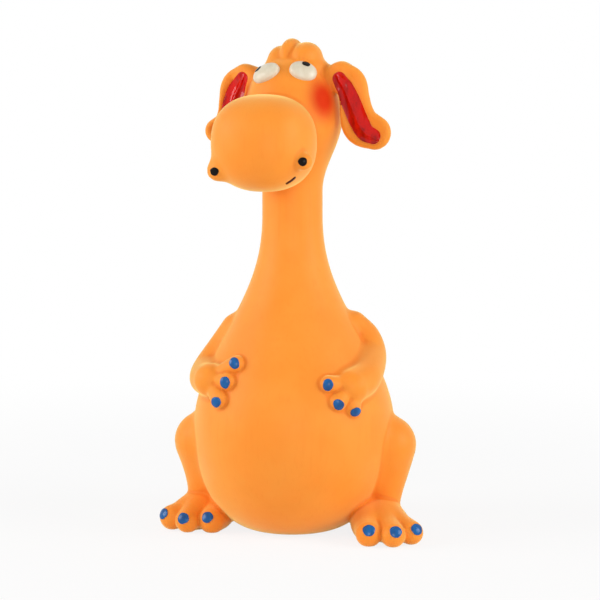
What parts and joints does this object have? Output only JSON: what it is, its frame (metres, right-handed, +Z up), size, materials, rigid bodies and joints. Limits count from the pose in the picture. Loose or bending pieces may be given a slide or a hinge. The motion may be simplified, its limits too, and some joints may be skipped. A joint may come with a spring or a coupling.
{
  "type": "squeaky dog toy",
  "caption": "Hollow latex dog toy: a sitting long-necked animal with floppy ears and a squeaker in its base that sounds when its belly is pressed.",
  "frame": {"origin": "on the floor, under the middle of the toy's outline", "axes": "+Z up, -Y to the front where the belly faces, +X to the animal's own left"},
  "size_m": [0.0964, 0.0746, 0.178],
  "materials": {
    "latex_orange": "satin orange natural latex",
    "lining_red": "gloss red paint on latex",
    "nail_blue": "gloss blue paint on latex",
    "eye_white": "satin white paint on latex",
    "gloss_black": "gloss black paint on latex",
    "squeaker_plastic": "milky moulded plastic",
    "reed_film": "thin plastic film"
  },
  "bodies": {
    "body": {"body_shell": "latex_orange", "arm_left": "latex_orange", "arm_right": "latex_orange", "leg_left": "latex_orange", "leg_right": "latex_orange", "finger_nail_left_upper": "nail_blue", "finger_nail_left_middle": "nail_blue", "finger_nail_left_lower": "nail_blue", "finger_nail_right_upper": "nail_blue", "finger_nail_right_middle": "nail_blue", "finger_nail_right_lower": "nail_blue", "toe_nail_left_inner": "nail_blue", "toe_nail_left_middle": "nail_blue", "toe_nail_left_outer": "nail_blue", "toe_nail_right_inner": "nail_blue", "toe_nail_right_middle": "nail_blue", "toe_nail_right_outer": "nail_blue", "squeaker_cup": "squeaker_plastic", "reed_plate": "squeaker_plastic", "reed_clamp": "squeaker_plastic"},
    "belly": {"belly_panel": "latex_orange"},
    "reed": {"squeaker_reed": "reed_film"},
    "neck": {"neck": "latex_orange"},
    "head": {"head": "latex_orange", "muzzle": "latex_orange", "hair_tuft": "latex_orange", "eye_left": "eye_white", "eye_right": "eye_white", "pupil_left": "gloss_black", "pupil_right": "gloss_black", "nostril_left": "gloss_black", "nostril_right": "gloss_black"},
    "ear_left": {"ear_left": "latex_orange", "ear_lining_left": "lining_red"},
    "ear_right": {"ear_right": "latex_orange", "ear_lining_right": "lining_red"}
  },
  "joints": [
    {"name": "belly_squeeze", "type": "slide", "parent": "body", "child": "belly", "axis": [0, 1, 0], "range_m": [0, 0.009], "stiffness_N_per_m": 150},
    {"name": "reed_flutter", "type": "hinge", "parent": "body", "child": "reed", "pos_m": [-0.00353, 0.00255, 0.0114], "axis": [0, -1, 0], "range_deg": [0, 4]},
    {"name": "neck_bend", "type": "hinge", "parent": "body", "child": "neck", "pos_m": [-0.00173, 0.00255, 0.088], "axis": [1, 0, 0], "range_deg": [-12, 12], "stiffness_Nm_per_rad": 0.3},
    {"name": "head_sway", "type": "hinge", "parent": "neck", "child": "head", "pos_m": [-0.00173, 0.00255, 0.1195], "axis": [0, 1, 0], "range_deg": [-15, 15], "stiffness_Nm_per_rad": 0.3},
    {"name": "ear_left_lift", "type": "hinge", "parent": "head", "child": "ear_left", "pos_m": [0.01697, -0.00251, 0.16522], "axis": [-0.3007, -0.9537, 0], "range_deg": [0, 35], "stiffness_Nm_per_rad": 0.006},
    {"name": "ear_right_lift", "type": "hinge", "parent": "head", "child": "ear_right", "pos_m": [-0.01996, 0.00913, 0.16522], "axis": [0.3007, 0.9537, 0], "range_deg": [0, 35], "stiffness_Nm_per_rad": 0.006}
  ],
  "couplings": [
    {"joint": "reed_flutter", "follows": "belly_squeeze", "rad_per_m": 7.5}
  ]
}
